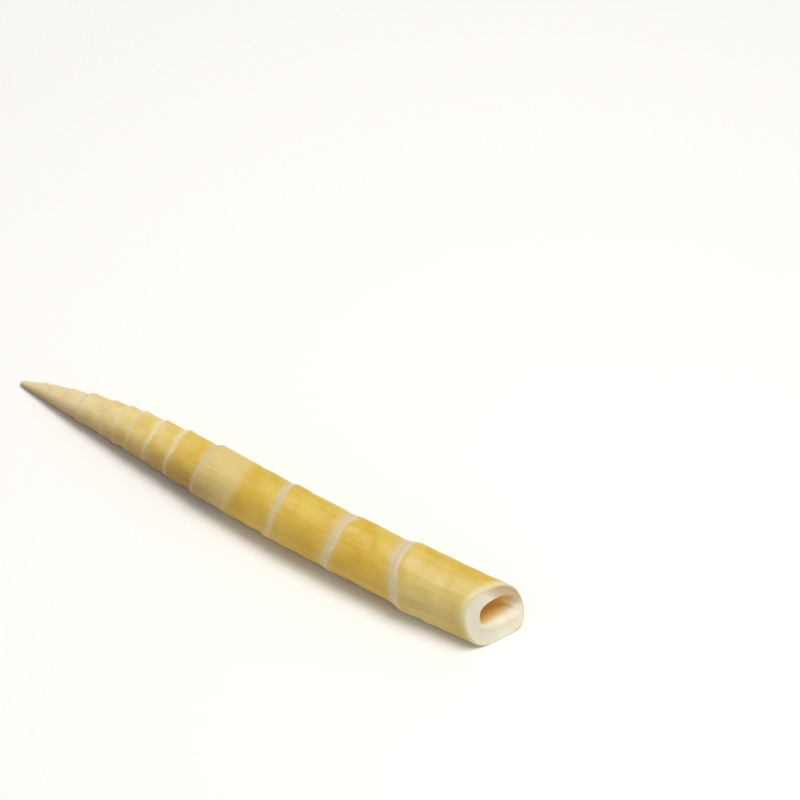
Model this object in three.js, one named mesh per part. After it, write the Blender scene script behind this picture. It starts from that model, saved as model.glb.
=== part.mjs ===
// A peeled bamboo shoot, cut off above the root and lying on its flattened side.
// Millimetres, +Z up. The shoot lies along X with its tip at -X and its cut end at +X.
// The origin is under the middle of the shoot, on the surface that it lies on.
//
// The shoot grew as one piece, so it is one closed solid: a grid of rows of points that starts at the
// deep end of the hollow, comes out over the cut face and runs along the skin to the tip.
import * as THREE from "three";

// Driving dimensions
const LENGTH = 202.5; // from the middle of the cut face to the tip
const BASE_RADIUS = 11.6; // of the skin at the cut end
const COLUMNS = 40; // points round each row
const ROW_STEP = 4; // the longest stretch of skin between two rows

// The rings where the sheaths were peeled off, from the cut end to the tip.
// gap: length of the internode below the ring. lip: height of the swelling below it.
// scar: length of the slope down from the lip to the narrower skin above it.
// lean: how far the ring's far side leans to the tip. nod: the same for its near upper side.
const RINGS = [
  { gap: 34.5, lip: 0.9, scar: 5, lean: 2.4, nod: 1.5 },
  { gap: 27, lip: 0.35, scar: 4.6, lean: -1.7, nod: 0.2 },
  { gap: 25.5, lip: 0.4, scar: 3.2, lean: -0.4, nod: -0.9 },
  { gap: 33.5, lip: 0.65, scar: 2.2, lean: -0.7, nod: -0.6 },
  { gap: 13, lip: 0.45, scar: 2, lean: -0.5, nod: -1.1 },
  { gap: 10, lip: 0.3, scar: 1.8, lean: -0.7, nod: -0.8 },
  { gap: 8.5, lip: 0.5, scar: 1.8, lean: -0.3, nod: -0.8 },
  { gap: 6, lip: 0.3, scar: 1.4, lean: 0, nod: -0.7 },
  { gap: 6, lip: 0.4, scar: 1.6, lean: 0.4, nod: -0.6 },
  { gap: 11, lip: 0.5, scar: 1.6, lean: -0.3, nod: -0.4 },
  { gap: 7.5, lip: 0.2, scar: 1.2, lean: 0, nod: -0.3 },
  { gap: 7, lip: 0.2, scar: 1.2, lean: 0.3, nod: -0.2 },
];
RINGS.reduce((below, ring) => (ring.at = below + ring.gap), 0);

// Skin
const TAPER = 0.1; // share of the radius lost evenly along the whole length
const POINT = 0.83; // share lost towards the tip, at the power below
const POINT_POWER = 4.4;
const WAIST_SHARE = 0.6; // depth of the narrowing just above a ring as a share of its lip's height
const SWELL_SHARE = 0.4; // length of a lip or waist as a share of its internode
const TIP_ROUND = 1.1; // length of the rounded end of the tip
const FAR_SIDE = THREE.MathUtils.degToRad(40); // where the lips stand highest, from +Y towards +Z
const NEAR_SIDE = THREE.MathUtils.degToRad(130);
const LIP_BIAS = 0.5; // how much higher the far side's lips are, near the tip

// Lie
const SUNK = 0.09; // share of the radius flattened away below, at the cut end
const SUNK_LENGTH = 34; // how far up the shoot the flattened side reaches
const CLEARANCE = 0.45; // gap under the waists, where the shoot rests on its lips
const BOW = [-1.3, 0.9, 0.5]; // sideways bend, as the first three half waves over the length
const KINK = 2.7; // how far the cut end stands to the side of the line of the other internodes

// Cut end
const CUT_TURN = Math.tan(THREE.MathUtils.degToRad(25)); // slope of the knife cut across the shoot
const CUT_TILT = Math.tan(THREE.MathUtils.degToRad(24)); // slope of the cut from bottom to top
const SQUARE = 0.5; // added to the round section's power of 2, at the cut end

// Hollow of the first internode
const HOLLOW_SHARE = 0.52; // its height as a share of the section's, before the floor flattens it
const HOLLOW_WIDE = 1.15; // its width as a share of that height
const HOLLOW_DEPTH = 27;
const HOLLOW_DROP = 0.3; // how far its middle is below the section's
const HOLLOW_SHIFT = 1.6; // how far its middle is to the side of the section's
const HOLLOW_FLOOR = 0.5; // its floor is this share of its radius below its middle

const smooth = (t) => t * t * (3 - 2 * t);
const clamp01 = (t) => Math.min(1, Math.max(0, t));

// The smooth outline that the lips and waists are laid on, at a distance from the cut end.
function envelope(along) {
  const t = clamp01(along / LENGTH);
  return BASE_RADIUS * (1 - TAPER * t - POINT * t ** POINT_POWER);
}

// Height of the lips and waists on the outline, at a distance from the cut end and an angle round it.
function relief(along, angle) {
  const bias = 1 + LIP_BIAS * clamp01(along / LENGTH) * Math.cos(angle - FAR_SIDE);
  return RINGS.reduce((height, ring, i) => {
    const above = along - ring.at;
    const next = RINGS[i + 1]?.gap ?? LENGTH - ring.at;
    const lip = ring.lip * Math.exp(Math.min(0, above) / (SWELL_SHARE * ring.gap));
    const waist = WAIST_SHARE * ring.lip * Math.exp(-Math.max(0, above) / (SWELL_SHARE * next));
    const over = smooth(clamp01(0.5 + above / ring.scar));
    return height + bias * (lip * (1 - over) - waist * over);
  }, 0);
}

// How far a row of points leans towards the tip, blended between the rings on both sides of it.
function lean(along, angle) {
  const stops = [{ at: 0, lean: 0, nod: 0 }, ...RINGS, { at: LENGTH, lean: 0, nod: 0 }];
  const i = Math.max(1, stops.findIndex((stop) => stop.at >= along));
  const t = smooth(clamp01((along - stops[i - 1].at) / (stops[i].at - stops[i - 1].at)));
  const mix = (key) => stops[i - 1][key] * (1 - t) + stops[i][key] * t;
  return mix("lean") * Math.cos(angle - FAR_SIDE) + mix("nod") * Math.cos(angle - NEAR_SIDE);
}

function bow(along) {
  const t = clamp01(1 - along / LENGTH);
  const kink = KINK * (1 - clamp01(along / RINGS[0].at));
  return BOW.reduce((sum, height, i) => sum + height * Math.sin((i + 1) * Math.PI * t), kink);
}

function axisHeight(along) {
  const sunk = SUNK * Math.exp(-((along / SUNK_LENGTH) ** 2));
  return (1 - sunk) * envelope(along) + CLEARANCE * clamp01(along / RINGS[0].at);
}

// Radius of a section between a circle and a rounded square, for a radius of 1.
function squared(along, angle) {
  const power = 2 + SQUARE * Math.exp(-((along / SUNK_LENGTH) ** 2));
  return (Math.abs(Math.cos(angle)) ** power + Math.abs(Math.sin(angle)) ** power) ** (-1 / power);
}

// X of the knife cut at a place on the section.
const cutX = (y, z) => LENGTH / 2 + CUT_TURN * y - CUT_TILT * (z - axisHeight(0));

// X of a point: on the cut at the cut end, and square to the shoot from the first ring on.
function stationX(along, angle, y, z) {
  const square = LENGTH / 2 - along - lean(along, angle);
  const t = smooth(clamp01(along / RINGS[0].at));
  return (cutX(y, z) - along) * (1 - t) + square * t;
}

function skinPoint(along, angle) {
  const fromTip = (LENGTH - along) / TIP_ROUND;
  const blunt = fromTip < 1 ? Math.sqrt(1 - (1 - fromTip) ** 2) : 1;
  const radius = (envelope(along) + relief(along, angle)) * squared(along, angle) * blunt;
  const y = bow(along) + radius * Math.cos(angle);
  const z = Math.max(0, axisHeight(along) + radius * Math.sin(angle));
  return new THREE.Vector3(stationX(along, angle, y, z), y, z);
}

function hollowPoint(deep, angle) {
  const fromEnd = clamp01((HOLLOW_DEPTH - deep) / (HOLLOW_SHARE * BASE_RADIUS));
  const dome = Math.sqrt(1 - (1 - fromEnd) ** 2);
  const radius = HOLLOW_SHARE * BASE_RADIUS * squared(0, angle) * dome;
  const y = bow(deep) + HOLLOW_SHIFT + HOLLOW_WIDE * radius * Math.cos(angle);
  const rise = Math.max(-HOLLOW_FLOOR * HOLLOW_SHARE * BASE_RADIUS * dome, radius * Math.sin(angle));
  const z = axisHeight(0) - HOLLOW_DROP + rise;
  return new THREE.Vector3(cutX(y, z) - deep, y, z);
}

// Distances from the cut end of the rows of skin: four over each scar, and evenly between the scars.
function skinStations() {
  const stations = [0];
  const stops = [...RINGS, { at: LENGTH - TIP_ROUND, scar: 0 }];
  for (const stop of stops) {
    const from = stations.at(-1);
    const to = stop.at - 0.6 * stop.scar;
    const count = Math.ceil((to - from) / ROW_STEP);
    for (let i = 1; i <= count; i++) stations.push(from + ((to - from) * i) / count);
    if (stop.scar > 0) stations.push(...[-0.2, 0.2, 0.6].map((share) => stop.at + share * stop.scar));
  }
  stations.push(LENGTH - 0.5 * TIP_ROUND, LENGTH - 0.15 * TIP_ROUND);
  return stations;
}

const angles = Array.from({ length: COLUMNS }, (_, i) => (2 * Math.PI * i) / COLUMNS);
const rowOf = (pointAt, along) => angles.map((angle) => pointAt(along, angle));
const hollowStations = [1, 0.97, 0.88, 0.7, 0.35, 0].map((share) => share * HOLLOW_DEPTH);

// One closed surface over rows of points, ending in one point before the first and after the last row.
function closedRows(start, rows, end) {
  const points = [start, ...rows.flat(), end];
  const index = [];
  const at = (row, column) => 1 + row * COLUMNS + (column % COLUMNS);
  for (let column = 0; column < COLUMNS; column++) {
    index.push(0, at(0, column), at(0, column + 1));
    index.push(points.length - 1, at(rows.length - 1, column + 1), at(rows.length - 1, column));
    for (let row = 0; row + 1 < rows.length; row++) {
      const [a, b] = [at(row, column), at(row, column + 1)];
      const [c, d] = [at(row + 1, column), at(row + 1, column + 1)];
      index.push(a, c, b, b, c, d);
    }
  }
  const geometry = new THREE.BufferGeometry().setFromPoints(points);
  return geometry.setIndex(index);
}

function shootGeometry() {
  const hollow = hollowStations.slice(1).map((deep) => rowOf(hollowPoint, deep));
  const skin = skinStations().map((along) => rowOf(skinPoint, along));
  const geometry = closedRows(hollowPoint(HOLLOW_DEPTH, 0), [...hollow, ...skin], skinPoint(LENGTH, 0));
  geometry.computeBoundingBox();
  const middle = geometry.boundingBox.getCenter(new THREE.Vector3());
  geometry.translate(-middle.x, -middle.y, 0);
  geometry.computeVertexNormals();
  return geometry;
}

const flesh = new THREE.MeshStandardMaterial({ color: 0xd9bb62, roughness: 0.45, metalness: 0 });
const shoot = new THREE.Mesh(shootGeometry(), flesh);
shoot.name = "shoot";

const group = new THREE.Group();
group.add(shoot);

export default group;
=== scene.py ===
"""A peeled bamboo shoot, cut off above the root and lying on a pale floor.

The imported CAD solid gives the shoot's place and size. This script makes the fine surface over it from the
same dimensions: the scars and lips of the rings, the fibres of the skin, the knife cut and the hollow.
Lengths are in millimetres until the mesh is made, which is in metres.
"""

import math

import bpy
import numpy as np
from mathutils import Matrix, Vector


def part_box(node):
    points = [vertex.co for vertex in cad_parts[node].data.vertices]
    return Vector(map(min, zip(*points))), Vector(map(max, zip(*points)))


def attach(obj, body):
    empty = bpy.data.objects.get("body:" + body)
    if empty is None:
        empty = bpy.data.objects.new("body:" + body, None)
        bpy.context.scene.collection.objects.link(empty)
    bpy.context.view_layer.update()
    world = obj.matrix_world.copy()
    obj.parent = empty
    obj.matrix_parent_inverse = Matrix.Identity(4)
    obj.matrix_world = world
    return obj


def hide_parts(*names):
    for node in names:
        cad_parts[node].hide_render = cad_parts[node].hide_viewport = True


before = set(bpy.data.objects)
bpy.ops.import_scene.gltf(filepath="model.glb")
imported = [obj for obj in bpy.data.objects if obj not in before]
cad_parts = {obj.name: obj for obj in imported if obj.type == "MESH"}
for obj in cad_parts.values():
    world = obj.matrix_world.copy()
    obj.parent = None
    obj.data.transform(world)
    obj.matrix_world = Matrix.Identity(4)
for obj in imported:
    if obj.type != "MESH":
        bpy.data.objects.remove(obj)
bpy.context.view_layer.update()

MM = 0.001
SEED = 7

# Shape, as in the CAD model
LENGTH = 202.5  # from the middle of the cut face to the tip
BASE_RADIUS = 11.6
TAPER = 0.1
POINT = 0.83
POINT_POWER = 4.4
WAIST_SHARE = 0.6
SWELL_SHARE = 0.4
TIP_ROUND = 1.1
FAR_SIDE = math.radians(40)
NEAR_SIDE = math.radians(130)
LIP_BIAS = 0.5
SUNK = 0.09
SUNK_LENGTH = 34.0
CLEARANCE = 0.45
BOW = (-1.3, 0.9, 0.5)
KINK = 2.7
CUT_TURN = math.tan(math.radians(25))
CUT_TILT = math.tan(math.radians(24))
SQUARE = 0.5
HOLLOW_SHARE = 0.52
HOLLOW_WIDE = 1.15
HOLLOW_DEPTH = 27.0
HOLLOW_DROP = 0.3
HOLLOW_SHIFT = 1.6
HOLLOW_FLOOR = 0.5

# The rings, from the cut end to the tip, as in the CAD model apart from the last two values.
# gap: length of the internode below the ring. lip: height of the swelling below it.
# scar: length of the scar. lean: how far the ring's far side leans to the tip.
# nod: the same for its near upper side. pale and mauve: strength of the scar's colours.
RINGS = [
    dict(gap=34.5, lip=0.9, scar=5.0, lean=2.4, nod=1.5, pale=1.0, mauve=0.9),
    dict(gap=27, lip=0.35, scar=4.6, lean=-1.7, nod=0.2, pale=0.9, mauve=0.6),
    dict(gap=25.5, lip=0.4, scar=3.2, lean=-0.4, nod=-0.9, pale=0.85, mauve=0.5),
    dict(gap=33.5, lip=0.65, scar=2.2, lean=-0.7, nod=-0.6, pale=0.7, mauve=0.3),
    dict(gap=13, lip=0.45, scar=2.0, lean=-0.5, nod=-1.1, pale=0.9, mauve=0.1),
    dict(gap=10, lip=0.3, scar=1.8, lean=-0.7, nod=-0.8, pale=0.9, mauve=0.1),
    dict(gap=8.5, lip=0.5, scar=1.8, lean=-0.3, nod=-0.8, pale=0.7, mauve=0.15),
    dict(gap=6, lip=0.3, scar=1.4, lean=0, nod=-0.7, pale=0.5, mauve=0.1),
    dict(gap=6, lip=0.4, scar=1.6, lean=0.4, nod=-0.6, pale=0.5, mauve=0.15),
    dict(gap=11, lip=0.5, scar=1.6, lean=-0.3, nod=-0.4, pale=0.45, mauve=0.2),
    dict(gap=7.5, lip=0.2, scar=1.2, lean=0, nod=-0.3, pale=0.2, mauve=0.3),
    dict(gap=7, lip=0.2, scar=1.2, lean=0.3, nod=-0.2, pale=0.2, mauve=0.2),
]
for number, ring in enumerate(RINGS):
    ring["at"] = sum(r["gap"] for r in RINGS[: number + 1])

# Where the skin's colours change, as distances from the cut end
BLANCHED = (105.0, 120.5)  # the stretch below the fourth ring that its sheath kept pale
OLD = (27.0, 37.0)  # khaki turns to yellow
PAINTED_SHADE_SIDE = (95.0, 120.0)  # the lower side turns darker: painted shade, partly the skin's own browner colour
YOUNG_END = (112.0, 197.0)  # yellow turns to the beige of the tip
WARM_BAND = (4.8, 2.4)  # middle and width of the brown tinge near the cut
GREEN_BAND = (2.3, 0.8)  # the same for the greenish line at the cut

# Fineness of the mesh
COLUMNS = 176  # points round each row
SKIN_STEP = 0.75  # between rows of skin
RING_STEP = 0.25  # between rows near a ring
RING_REACH = 2.5  # how far from a ring the rows are close
FACE_ROWS = 22
HOLLOW_ROWS = 44
FACE_GRAIN = 5.0  # how far the grain of the flesh runs from the hollow's mouth to the skin

# Fine shape
EDGE = 0.6  # rounding of the rims
MOUTH_EDGE = 2.2  # rounding of the hollow's mouth on its lower far side
FLUTES = 0.035  # height of one wave of the ribbing round the skin
FLUTE_WAVES = (7, 11, 17, 24, 33, 45)
LUMPS = 0.14  # height of the unevenness of the skin
LUMP_WAVES = (2, 3, 5)
SLOPE = 1.5  # length of the slope at a ring as a share of its scar
WANDER = 0.22  # height of each of the four waves by which a ring strays from a plane, at the cut end
SCAR_RIDGE = 0.06  # height of the fine ridge on the lower half of a ring's slope
SCAR_GROOVE = 0.05  # depth of the fine groove on its upper half
BUD_FROM_TIP = 10.5  # the small bud on the far side of the tip
BUD_LENGTH = 1.9
BUD_WIDTH = 0.9
BUD_HEIGHT = 0.55
REST_SOFTNESS = 0.3  # rounding where the flattened side begins
WRINKLES = 0.08  # height of the unevenness of the hollow's lining
WRINKLE_WAVES = (3, 5, 8, 13)
FLOOR_SOFTNESS = 3.0  # rounding between the hollow's floor and its sides
DISH = 0.25  # depth to which the cut face is dished
KNIFE_MARKS = 0.018  # height of the ridges that the knife left
KNIFE_PITCH = 1.3


# --- numbers ---

def clamp01(t):
    return np.clip(t, 0.0, 1.0)


def smooth(t):
    t = clamp01(t)
    return t * t * (3 - 2 * t)


def ramp(value, zone):
    """Rises softly from 0 where a zone starts to 1 where it ends."""
    start, end = zone
    return smooth((value - start) / (end - start))


def hump(distance, width):
    return np.exp(-((distance / width) ** 2))


def soft_floor(value, level, softness):
    """value where it is well above level, and close to level where it is below, with a rounded turn."""
    above = value - level
    return level + 0.5 * (above + np.sqrt(above**2 + softness**2))


def waves(rng, x, lengths, height):
    """A sum of sines along x with the given wave lengths and random phases."""
    return height * sum(np.sin(2 * np.pi * x / length + rng.uniform(0, 2 * np.pi)) for length in lengths)


# --- the shoot's form ---

def envelope(along):
    t = clamp01(along / LENGTH)
    return BASE_RADIUS * (1 - TAPER * t - POINT * t**POINT_POWER)


def next_gap(number):
    return RINGS[number + 1]["gap"] if number + 1 < len(RINGS) else LENGTH - RINGS[number]["at"]


def stray(angle, number):
    """How far a ring strays from its plane towards the cut end, going round it."""
    rng = np.random.default_rng([SEED, number])
    height = WANDER * envelope(RINGS[number]["at"]) / BASE_RADIUS
    return waves(rng, angle, (2 * np.pi, np.pi, 2 * np.pi / 3, 2 * np.pi / 5), height)


def relief(along, angle):
    """Height of the lips and waists on the envelope."""
    bias = 1 + LIP_BIAS * clamp01(along / LENGTH) * np.cos(angle - FAR_SIDE)
    height = 0
    for number, ring in enumerate(RINGS):
        above = along - ring["at"] + stray(angle, number)
        over = smooth(0.5 + above / (SLOPE * ring["scar"]))
        lip = ring["lip"] * np.exp(np.minimum(0, above) / (SWELL_SHARE * ring["gap"]))
        waist = np.exp(-np.maximum(0, above) / (SWELL_SHARE * next_gap(number)))
        waist = WAIST_SHARE * ring["lip"] * waist
        height = height + bias * (lip * (1 - over) - waist * over)
    return height


def lean(along, angle):
    """How far the rows lean towards the tip, blended between the rings on both sides."""
    stops = [0, *(ring["at"] for ring in RINGS), LENGTH]
    blend = 0
    for key, side in (("lean", FAR_SIDE), ("nod", NEAR_SIDE)):
        values = np.array([0, *(ring[key] for ring in RINGS), 0])
        at = np.clip(np.searchsorted(stops, along), 1, len(stops) - 1)
        low, high = np.take(stops, at - 1), np.take(stops, at)
        t = smooth((along - low) / (high - low))
        blend = blend + (values[at - 1] * (1 - t) + values[at] * t) * np.cos(angle - side)
    return blend


def bow(along):
    t = clamp01(1 - along / LENGTH)
    bend = sum(height * np.sin((i + 1) * np.pi * t) for i, height in enumerate(BOW))
    return bend + KINK * (1 - clamp01(along / RINGS[0]["at"]))


def axis_height(along):
    sunk = SUNK * np.exp(-((along / SUNK_LENGTH) ** 2))
    return (1 - sunk) * envelope(along) + CLEARANCE * clamp01(along / RINGS[0]["at"])


def squared(along, angle):
    power = 2 + SQUARE * np.exp(-((along / SUNK_LENGTH) ** 2))
    return (np.abs(np.cos(angle)) ** power + np.abs(np.sin(angle)) ** power) ** (-1 / power)


def cut_x(y, z):
    return LENGTH / 2 + CUT_TURN * y - CUT_TILT * (z - axis_height(0.0))


def skin_detail(along, angle):
    """What a peeled skin has over its smooth form: ribbing, lumps, fine lines at the rings and a bud."""
    rng = np.random.default_rng(SEED)
    height = np.zeros(np.broadcast(along, angle).shape)
    for count in FLUTE_WAVES:
        phase = rng.uniform(0, 2 * np.pi) + waves(rng, along, (90, 47, 23), 0.5)
        height += FLUTES * np.sin(count * angle + phase) * (0.6 + 0.4 * np.sin(along / 9 + phase))
    for count in LUMP_WAVES:
        phase = rng.uniform(0, 2 * np.pi) + waves(rng, along, (60, 31, 17), 0.8)
        height += LUMPS * np.sin(count * angle + phase) * np.sin(along / (8 + 3 * count) + phase)
    fineness = smooth(envelope(along) / BASE_RADIUS * 1.2)
    height *= fineness
    for ring in RINGS:
        d = along - ring["at"] - waves(rng, angle, (2 * np.pi, np.pi, 2.1, 1.0), 0.08)
        scale = 0.35 + 0.65 * envelope(ring["at"]) / BASE_RADIUS
        height += scale * SCAR_RIDGE * hump(d + 0.45 * ring["scar"], 0.5)
        height -= scale * SCAR_GROOVE * hump(d - 0.4 * ring["scar"], 0.6)
    bud = hump(along - (LENGTH - BUD_FROM_TIP), BUD_LENGTH)
    bud *= hump((angle - FAR_SIDE) * envelope(along), BUD_WIDTH)
    return height + BUD_HEIGHT * bud


def skin_points(along, angle):
    from_tip = (LENGTH - along) / TIP_ROUND
    blunt = np.sqrt(1 - (1 - clamp01(from_tip)) ** 2)
    trim = EDGE * (1 - np.sqrt(1 - (1 - clamp01(along / EDGE)) ** 2))
    radius = (envelope(along) + relief(along, angle)) * squared(along, angle)
    radius = (radius + skin_detail(along, angle) * smooth(along / 4)) * blunt - trim
    y = bow(along) + radius * np.cos(angle)
    z = axis_height(along) + radius * np.sin(angle)
    z = soft_floor(z, 0.0, REST_SOFTNESS * (1 - smooth((along - LENGTH + 12) / 10)))
    square = LENGTH / 2 - along - lean(along, angle)
    t = smooth(along / RINGS[0]["at"])
    x = (cut_x(y, z) - along) * (1 - t) + square * t
    return np.stack([x, y, z], axis=-1)


def hollow_points(deep, angle):
    rng = np.random.default_rng(SEED + 1)
    reach = HOLLOW_SHARE * BASE_RADIUS
    dome = np.sqrt(1 - (1 - clamp01((HOLLOW_DEPTH - deep) / reach)) ** 2)
    edge = EDGE + (MOUTH_EDGE - EDGE) * smooth(0.5 + 0.5 * np.cos(angle + np.pi / 4))
    flare = edge * (1 - np.sqrt(1 - (1 - clamp01(deep / edge)) ** 2))
    wrinkles = 0
    for count in WRINKLE_WAVES:
        phase = rng.uniform(0, 2 * np.pi) + waves(rng, deep, (19, 11, 7), 0.5)
        wrinkles = wrinkles + WRINKLES * np.sin(count * angle + phase) * smooth(deep / 3)
    radius = (reach * squared(0.0, angle) + wrinkles) * dome + flare
    y = bow(deep) + HOLLOW_SHIFT + HOLLOW_WIDE * radius * np.cos(angle)
    floor = -HOLLOW_FLOOR * reach * dome - flare
    rise = soft_floor(radius * np.sin(angle), floor, FLOOR_SOFTNESS * dome)
    z = axis_height(0.0) - HOLLOW_DROP + rise
    return np.stack([cut_x(y, z) - deep, y, z], axis=-1)


def face_points(share, angle):
    """The cut face, from the hollow's mouth at share 0 to the skin at share 1."""
    inner = hollow_points(np.zeros_like(share), angle)
    outer = skin_points(np.zeros_like(share), angle)
    points = inner + (outer - inner) * share[..., None]
    y, z = points[..., 1], points[..., 2]
    across = 0.8 * y + 0.6 * z
    marks = np.sin(2 * np.pi * across / KNIFE_PITCH + 1.2 * np.sin(z / 3))
    marks = marks + 0.6 * np.sin(across * 2.1 + y / 4)
    inside = smooth(share / 0.15) * smooth((1 - share) / 0.15)
    points[..., 0] += inside * (KNIFE_MARKS * marks - DISH * np.sin(np.pi * share))
    return points


# --- rows of the mesh ---

def skin_stations():
    """Distances of the rows of skin from the cut: close at the rim, at each ring and at the tip."""
    stations = [EDGE * (1 - math.cos(t)) for t in np.linspace(0, math.pi / 2, 7)[1:]]
    while stations[-1] < LENGTH - TIP_ROUND:
        gap = min(abs(stations[-1] - ring["at"]) for ring in RINGS)
        stations.append(stations[-1] + (RING_STEP if gap < RING_REACH else SKIN_STEP))
    stations = [s for s in stations if s < LENGTH - TIP_ROUND]
    stations += [LENGTH - TIP_ROUND * math.sin(t) ** 2 for t in np.linspace(math.pi / 2, 0, 12)[:-1]]
    return np.array(stations)


def hollow_stations():
    ease = np.linspace(1, 0, HOLLOW_ROWS)
    body = MOUTH_EDGE + (HOLLOW_DEPTH - MOUTH_EDGE) * np.sin(ease * math.pi / 2) ** 1.4
    rim = [MOUTH_EDGE * (1 - math.cos(t)) for t in np.linspace(math.pi / 2, 0, 16)[1:]]
    return np.concatenate([body[1:], rim])


def closed_faces(row_count):
    """Quads between neighbouring rows, and a fan at each end round one point."""
    last = 1 + row_count * COLUMNS
    column = np.arange(COLUMNS)
    beside = (column + 1) % COLUMNS
    faces = []
    for row in range(row_count - 1):
        near, far = 1 + row * COLUMNS, 1 + (row + 1) * COLUMNS
        faces += np.stack([near + column, far + column, far + beside, near + beside], axis=-1).tolist()
    faces += [[0, 1 + a, 1 + b] for a, b in zip(column.tolist(), beside.tolist())]
    end = last - COLUMNS
    faces += [[last, end + b, end + a] for a, b in zip(column.tolist(), beside.tolist())]
    return faces


# --- where the colours are ---

def scar_masks(along, angle):
    """Strength of the pale scar over each ring's slope, of its mauve and of its thin light lower edge."""
    rng = np.random.default_rng(SEED + 2)
    pale, mauve, line = (np.zeros_like(along) for _ in range(3))
    far = np.cos(angle - FAR_SIDE)
    for number, ring in enumerate(RINGS):
        uneven = waves(rng, angle, (2 * np.pi / 3, 2 * np.pi / 7, 2 * np.pi / 12), 0.04)
        wide = ring["scar"] * (0.8 + 0.12 * far + uneven)
        middle = ring["at"] + ring["scar"] * 0.24 * far
        across = (along - middle + stray(angle, number)) / wide
        band = 1 - smooth((np.abs(across) - 0.26) / 0.42)
        glow = 0.35 * (1 - smooth((np.abs(across - 0.1) - 0.4) / 0.9))
        small = clamp01((5 - ring["scar"]) / 3)
        strong = ring["pale"] * (1 - 0.45 * small * smooth((0.4 - far) / 1.4))
        pale = np.maximum(pale, strong * np.maximum(band, glow))
        patchy = 0.7 + waves(rng, angle, (np.pi, 2 * np.pi / 5), 0.25)
        mauve = np.maximum(mauve, ring["mauve"] * patchy * hump(across - 0.05, 0.26))
        line = np.maximum(line, ring["pale"] * patchy * hump(across + 0.36, 0.13))
    return pale, mauve, line


def skin_masks(along, angle):
    """Where the skin has each colour: along is the distance from the cut, angle goes round the shoot."""
    pale, mauve, line = scar_masks(along, angle)
    rng = np.random.default_rng(SEED + 3)
    start, end = BLANCHED
    warm_middle, warm_width = WARM_BAND
    green_middle, green_width = GREEN_BAND
    wavy = along + waves(rng, angle, (2 * np.pi, 2 * np.pi / 3, 2 * np.pi / 7), 0.45)
    blanched = smooth((wavy - start + 3.5) / 8) * (1 - smooth((along - end) / 0.6))
    turned = 1 - np.cos(angle - FAR_SIDE)
    lower = smooth(turned / 2)
    return dict(
        pale=pale,
        mauve=clamp01(mauve),
        line=clamp01(line),
        blanched=blanched,
        bleached_edge=hump(wavy - start - 0.5, 1.5) * (0.4 + 0.6 * lower),
        golden=hump(wavy - start + 4.5, 3.0),
        young=ramp(along, YOUNG_END),
        old=(1 - ramp(along, OLD)) * smooth(turned / 0.6),
        lower=lower,
        warm=hump(along - warm_middle, warm_width) * lower,
        green=hump(along - green_middle, green_width),
        # painted shade on the lower side of the tip half, partly the skin's own browner colour
        shady=ramp(along, PAINTED_SHADE_SIDE) * smooth((turned - 0.85) / 1.2),
        rim=1 - smooth((along - 0.8) / (0.7 + 2.2 * (1 - lower))),
    )


def side_masks(angle):
    """The upper far shoulder and the near side of the cut end."""
    return dict(
        shoulder=0.5 + 0.5 * np.cos(angle - math.radians(45)),
        near=0.5 - 0.5 * np.cos(angle),
    )


def hollow_masks(deep, angle):
    """Where the hollow has its orange lining, deeper in on the lower far side, and where painted shade
    darkens its floor.
    """
    far = 0.5 + 0.5 * np.cos(angle + math.radians(30))
    shallow = smooth(deep / 2) * (1 - smooth((deep - 3) / 5))
    return dict(
        side_masks(angle),
        cut=np.ones_like(deep),
        hollow=smooth((deep + 0.6 - far) / (2.2 + 4 * far)),
        # painted shade on the hollow's floor just inside the mouth
        floor=shallow * smooth(-1.3 * np.sin(angle)),
    )


def face_masks(share, angle):
    """The cut face: share goes from 0 at the hollow's mouth to 1 at the skin."""
    return dict(side_masks(angle), cut=np.ones_like(share), share=share)


MASKS = (
    "pale", "mauve", "line", "blanched", "bleached_edge", "golden", "young", "old",
    "lower", "shady", "warm", "green", "rim", "cut", "hollow", "share",
    "shoulder", "near", "floor",
)


# --- the whole mesh ---

def grid(stations):
    """Stations and angles of rows that go round the shoot."""
    return np.meshgrid(stations, np.arange(COLUMNS) * 2 * math.pi / COLUMNS, indexing="ij")


def shoot_mesh():
    """Points, faces, masks and grain, from the deep end of the hollow over the cut face to the tip.

    The grain is where a point would be on a straight round shoot: the noises of the material use it.
    """
    deep_end = np.array([HOLLOW_DEPTH]), np.array([0.0])
    tip = np.array([LENGTH]), np.array([0.0])
    face_shares = np.linspace(0, 1, FACE_ROWS + 1)[1:]
    stretches = (
        (hollow_points, hollow_masks, deep_end, 1),
        (hollow_points, hollow_masks, grid(hollow_stations()), 1),
        (face_points, face_masks, grid(face_shares), FACE_GRAIN),
        (skin_points, skin_masks, grid(skin_stations()), 1),
        (skin_points, skin_masks, tip, 1),
    )
    points, masks, grain = [], [], []
    for place, mark, (along, angle), grain_step in stretches:
        points.append(place(along, angle).reshape(-1, 3))
        strengths = mark(along, angle)
        masks.append([np.ravel(strengths.get(name, np.zeros_like(along))) for name in MASKS])
        across = BASE_RADIUS * np.cos(angle), BASE_RADIUS * np.sin(angle)
        grain.append(np.stack([grain_step * along, *across], axis=-1).reshape(-1, 3))
    points = np.concatenate(points)
    masks = dict(zip(MASKS, np.concatenate(masks, axis=1)))
    faces = closed_faces((len(points) - 2) // COLUMNS)
    return points, faces, masks, np.concatenate(grain)


def placed(points):
    """Puts the points where the CAD solid is."""
    low, high = (np.array(corner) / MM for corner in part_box("shoot"))
    middle = (points.min(axis=0) + points.max(axis=0)) / 2
    shift = (low + high) / 2 - middle
    return (points + [shift[0], shift[1], 0]) * MM


# --- material ---

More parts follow.
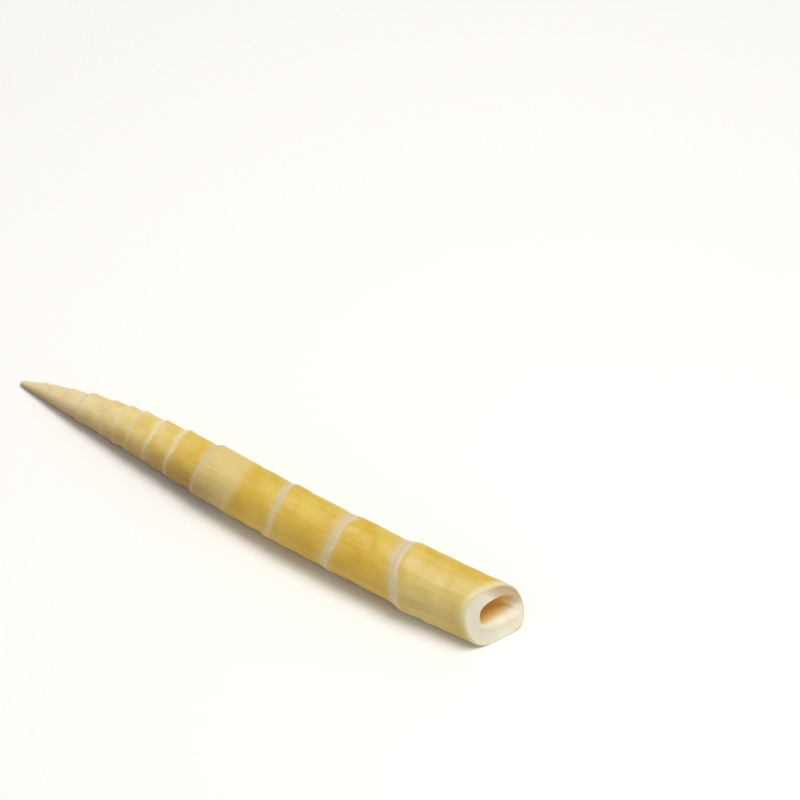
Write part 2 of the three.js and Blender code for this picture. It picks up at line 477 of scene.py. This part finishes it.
class Nodes:
    """Short names for the few kinds of node that the material uses."""

    def __init__(self, material):
        self.tree = material.node_tree

    def add(self, kind, **settings):
        node = self.tree.nodes.new(kind)
        for name, value in settings.items():
            setattr(node, name, value)
        return node

    def feed(self, socket, value):
        if isinstance(value, bpy.types.NodeSocket):
            self.tree.links.new(value, socket)
        else:
            socket.default_value = (*value, 1.0) if isinstance(value, tuple) else value

    def mask(self, name):
        return self.add("ShaderNodeAttribute", attribute_name=name).outputs["Fac"]

    def math(self, operation, a, b):
        node = self.add("ShaderNodeMath", operation=operation)
        self.feed(node.inputs[0], a)
        self.feed(node.inputs[1], b)
        return node.outputs[0]

    def between(self, value, low, high, to_low=0.0, to_high=1.0):
        node = self.add("ShaderNodeMapRange", interpolation_type="SMOOTHSTEP")
        self.feed(node.inputs["Value"], value)
        limits = {"From Min": low, "From Max": high, "To Min": to_low, "To Max": to_high}
        for name, number in limits.items():
            node.inputs[name].default_value = number
        return node.outputs["Result"]

    def mix(self, factor, a, b, blend="MIX"):
        node = self.add("ShaderNodeMix", data_type="RGBA", blend_type=blend)
        self.feed(node.inputs["Factor"], factor)
        self.feed(node.inputs["A"], a)
        self.feed(node.inputs["B"], b)
        return node.outputs["Result"]

    def noise(self, vector, stretch, detail=3.0, roughness=0.5):
        """Noise over a vector in millimetres; stretch is how many features there are in a millimetre."""
        scaled = self.add("ShaderNodeVectorMath", operation="MULTIPLY")
        self.feed(scaled.inputs[0], vector)
        scaled.inputs[1].default_value = stretch
        node = self.add("ShaderNodeTexNoise")
        node.inputs["Scale"].default_value = 1.0
        node.inputs["Detail"].default_value = detail
        node.inputs["Roughness"].default_value = roughness
        self.feed(node.inputs["Vector"], scaled.outputs[0])
        return node.outputs["Fac"]


DEEP_YELLOW = (0.58, 0.37, 0.03)
LIGHT_YELLOW = (0.65, 0.485, 0.09)
# painted warm bounce light in the shade of the lower side
PAINTED_BOUNCE_GOLD = (0.57, 0.34, 0.03)
KHAKI = (0.63, 0.495, 0.17)
OLIVE = (0.42, 0.30, 0.10)
CREAM = (0.65, 0.505, 0.20)
BLEACHED = (0.70, 0.58, 0.33)
SCAR = (0.62, 0.54, 0.34)
YOUNG_SCAR = (0.80, 0.70, 0.44)
MAUVE = (0.58, 0.46, 0.35)
LINE = (0.70, 0.61, 0.42)
YOUNG = (0.71, 0.56, 0.21)
TIP = (0.76, 0.63, 0.38)
PAINTED_SHADE = (0.55, 0.45, 0.30)  # painted shade on the lower side of the tip half, partly the skin's own browner colour; multiplies the skin's colour
WARM = (0.60, 0.38, 0.12)
GREEN = (0.62, 0.53, 0.15)
COLLAR = (0.70, 0.62, 0.37)
FLESH = (0.88, 0.835, 0.66)
LAVENDER = (0.74, 0.695, 0.555)
# painted shade on the upper far shoulder of the cut face
PAINTED_SHADE_TAN = (0.53, 0.35, 0.17)
PEACH = (0.78, 0.60, 0.34)
PINKISH = (0.80, 0.68, 0.50)
LINING = (0.95, 0.58, 0.14)
PAINTED_FLOOR_SHADE = (0.78, 0.80, 0.72)  # painted shade on the hollow's floor just inside the mouth; multiplies its colour


def skin_colour(n, grain):
    """Blotchy yellow, khaki at the cut end and beige at the tip, with the ring scars over it, painted warm
    bounce light on its lower side and painted shade under the tip half.
    """
    blotches = n.noise(grain, (0.11, 0.13, 0.13), detail=2.0)
    streaks = n.noise(grain, (0.03, 0.32, 0.32), detail=3.0)
    dark_streaks = n.between(n.noise(grain, (0.022, 0.34, 0.34), detail=3.0), 0.56, 0.72)
    tone = n.math("ADD", n.math("MULTIPLY", n.between(blotches, 0.35, 0.65), 0.6),
                  n.math("MULTIPLY", n.between(streaks, 0.35, 0.65), 0.4))
    skin = n.mix(tone, DEEP_YELLOW, LIGHT_YELLOW)
    # the lower side turns golden: painted warm light bounced into its shade
    skin = n.mix(n.math("MULTIPLY", n.mask("lower"), 0.45), skin, PAINTED_BOUNCE_GOLD)
    skin = n.mix(n.math("MULTIPLY", n.mask("old"), n.between(blotches, 0.3, 0.6, 0.65, 1.0)), skin, KHAKI)
    skin = n.mix(n.math("MULTIPLY", n.mask("blanched"), 0.9), skin, CREAM)
    skin = n.mix(n.math("MULTIPLY", n.mask("bleached_edge"), 0.5), skin, BLEACHED)
    golden = n.math("MULTIPLY", n.mask("golden"), n.between(blotches, 0.4, 0.6, 0.2, 0.7))
    skin = n.mix(golden, skin, DEEP_YELLOW)
    young = n.mix(n.between(n.mask("young"), 0.35, 1.0), YOUNG, TIP)
    yellower = n.between(n.mask("young"), 0.25, 0.9, 0.7, 0.15)
    yellower = n.math("MULTIPLY", n.between(blotches, 0.42, 0.62), yellower)
    skin = n.mix(n.between(n.mask("young"), 0.0, 0.35), skin, n.mix(yellower, young, skin))
    streaky = n.math("ADD", n.math("MULTIPLY", n.mask("old"), n.mask("lower")), 0.15)
    streaky = n.math("MULTIPLY", streaky, 0.45)
    skin = n.mix(n.math("MULTIPLY", streaky, dark_streaks), skin, OLIVE)
    skin = n.mix(n.math("MULTIPLY", n.mask("warm"), 0.5), skin, WARM)
    scar = n.mix(n.between(n.mask("young"), 0.0, 0.1), SCAR, YOUNG_SCAR)
    skin = n.mix(n.math("MULTIPLY", n.mask("pale"), 0.9), skin, scar)
    # painted shade darkens the lower side of the tip half, partly the skin's own browner colour
    skin = n.mix(n.mask("shady"), skin, PAINTED_SHADE, blend="MULTIPLY")
    skin = n.mix(n.math("MULTIPLY", n.mask("mauve"), 0.7), skin, MAUVE)
    skin = n.mix(n.math("MULTIPLY", n.mask("line"), 0.6), skin, LINE)
    skin = n.mix(n.math("MULTIPLY", n.mask("green"), 0.6), skin, GREEN)
    return n.mix(n.math("MULTIPLY", n.mask("rim"), 0.9), skin, COLLAR)


def flesh_colour(n, grain):
    """The cut face, with a thin line of skin round it and painted shade on its upper far shoulder, and the
    orange lining of the hollow with painted shade on its floor.
    """
    blush = n.between(n.noise(grain, (0.5, 0.22, 0.22), detail=3.0), 0.4, 0.7)
    flesh = n.mix(n.math("MULTIPLY", blush, 0.4), FLESH, PINKISH)
    flesh = n.mix(n.math("MULTIPLY", n.between(n.mask("near"), 0.4, 0.9), 0.8), flesh, LAVENDER)
    # painted shade darkens the upper far shoulder of the cut face
    flesh = n.mix(n.math("MULTIPLY", n.between(n.mask("shoulder"), 0.74, 1.0), 0.85), flesh, PAINTED_SHADE_TAN)
    flesh = n.mix(n.math("MULTIPLY", n.between(n.mask("share"), 0.94, 1.0), 0.7), flesh, PEACH)
    flesh = n.mix(n.mask("hollow"), flesh, LINING)
    # painted shade darkens the hollow's floor
    return n.mix(n.mask("floor"), flesh, PAINTED_FLOOR_SHADE, blend="MULTIPLY")


def shoot_material():
    material = bpy.data.materials.new("bamboo_shoot")
    material.use_nodes = True
    n = Nodes(material)
    surface = n.tree.nodes["Principled BSDF"]
    grain = n.add("ShaderNodeAttribute", attribute_name="grain").outputs["Vector"]
    colour = n.mix(n.mask("cut"), skin_colour(n, grain), flesh_colour(n, grain))
    n.feed(surface.inputs["Base Color"], colour)

    patches = n.noise(grain, (0.05, 0.3, 0.3), detail=3.0)
    dull = n.between(patches, 0.3, 0.7, 0.46, 0.58)
    dull = n.math("ADD", dull, n.math("MULTIPLY", n.mask("pale"), 0.08))
    n.feed(surface.inputs["Roughness"], dull)

    fibres = n.noise(grain, (0.08, 2.4, 2.4), detail=3.0, roughness=0.6)
    grit = n.noise(grain, (1.5, 1.5, 1.5), detail=4.0, roughness=0.6)
    bump = n.add("ShaderNodeBump")
    bump.inputs["Strength"].default_value = 0.5
    bump.inputs["Distance"].default_value = 0.09 * MM
    n.feed(bump.inputs["Height"], n.math("ADD", fibres, n.math("MULTIPLY", grit, 0.3)))
    n.feed(surface.inputs["Normal"], bump.outputs["Normal"])

    surface.inputs["IOR"].default_value = 1.42
    surface.inputs["Subsurface Weight"].default_value = 0.3
    surface.inputs["Subsurface Radius"].default_value = (1.0, 0.55, 0.2)
    surface.inputs["Subsurface Scale"].default_value = 2.0 * MM
    surface.inputs["Coat Weight"].default_value = 0.1
    surface.inputs["Coat Roughness"].default_value = 0.3
    return material


def make_shoot():
    points, faces, masks, grain = shoot_mesh()
    mesh = bpy.data.meshes.new("peeled_shoot")
    mesh.from_pydata(placed(points).tolist(), [], faces)
    mesh.update()
    for name, values in masks.items():
        layer = mesh.attributes.new(name, "FLOAT", "POINT")
        layer.data.foreach_set("value", values.astype(np.float32))
    layer = mesh.attributes.new("grain", "FLOAT_VECTOR", "POINT")
    layer.data.foreach_set("vector", grain.astype(np.float32).ravel())
    mesh.polygons.foreach_set("use_smooth", [True] * len(mesh.polygons))
    mesh.materials.append(shoot_material())
    shoot = bpy.data.objects.new("peeled_shoot", mesh)
    bpy.context.collection.objects.link(shoot)
    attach(shoot, "root")
    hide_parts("shoot")


# --- floor, light and camera ---

# Stage and lights in metres and watts
FLOOR_HALF = 3.0
FLOOR_COLOUR = (0.86, 0.855, 0.84, 1)
ROOM_COLOUR = (1.0, 0.99, 0.975, 1)
ROOM_STRENGTH = 0.46
LAMP_COLOUR = (1.0, 0.98, 0.95)


def make_floor():
    mesh = bpy.data.meshes.new("floor")
    corners = [(x * FLOOR_HALF, y * FLOOR_HALF, 0) for x, y in ((-1, -1), (1, -1), (1, 1), (-1, 1))]
    mesh.from_pydata(corners, [], [(0, 1, 2, 3)])
    material = bpy.data.materials.new("pale_floor")
    material.use_nodes = True
    surface = material.node_tree.nodes["Principled BSDF"]
    surface.inputs["Base Color"].default_value = FLOOR_COLOUR
    surface.inputs["Roughness"].default_value = 0.6
    mesh.materials.append(material)
    floor = bpy.data.objects.new("floor", mesh)
    bpy.context.collection.objects.link(floor)


def make_softbox(name, place, aim, size, watts):
    light = bpy.data.lights.new(name, "AREA")
    light.shape = "SQUARE"
    light.size = size
    light.energy = watts
    light.color = LAMP_COLOUR
    lamp = bpy.data.objects.new(name, light)
    lamp.location = place
    lamp.rotation_euler = (Vector(aim) - Vector(place)).to_track_quat("-Z", "Y").to_euler()
    bpy.context.collection.objects.link(lamp)


def make_light():
    world = bpy.data.worlds.new("white_room")
    world.use_nodes = True
    background = world.node_tree.nodes["Background"]
    background.inputs["Color"].default_value = ROOM_COLOUR
    background.inputs["Strength"].default_value = ROOM_STRENGTH
    bpy.context.scene.world = world
    make_softbox("key", place=(0.12, 0.12, 1.1), aim=(0, 0, 0), size=0.6, watts=9.6)
    make_softbox("fill", place=(0.9, -0.25, 0.45), aim=(0.1, 0, 0), size=0.5, watts=0.8)


AZIMUTH = math.radians(22)
ELEVATION = math.radians(49)
ROLL = math.radians(10.8)
CAMERA_AIM = Vector((15.2, 78.6, 0.0)) * MM
CAMERA_DISTANCE = 1277 * MM
LENS = 150.0


def make_camera():
    back = Vector((
        math.sin(AZIMUTH) * math.cos(ELEVATION),
        -math.cos(AZIMUTH) * math.cos(ELEVATION),
        math.sin(ELEVATION),
    ))
    level_right = Vector((math.cos(AZIMUTH), math.sin(AZIMUTH), 0))
    level_up = back.cross(level_right)
    right = level_right * math.cos(ROLL) + level_up * math.sin(ROLL)
    up = back.cross(right)
    place = Matrix((right, up, back)).transposed().to_4x4()
    place.translation = CAMERA_AIM + back * CAMERA_DISTANCE
    lens = bpy.data.cameras.new("camera")
    lens.lens = LENS
    camera = bpy.data.objects.new("camera", lens)
    camera.matrix_world = place
    bpy.context.collection.objects.link(camera)
    bpy.context.scene.camera = camera


make_camera()
make_shoot()
make_floor()
make_light()
bpy.context.scene.view_settings.view_transform = "Standard"
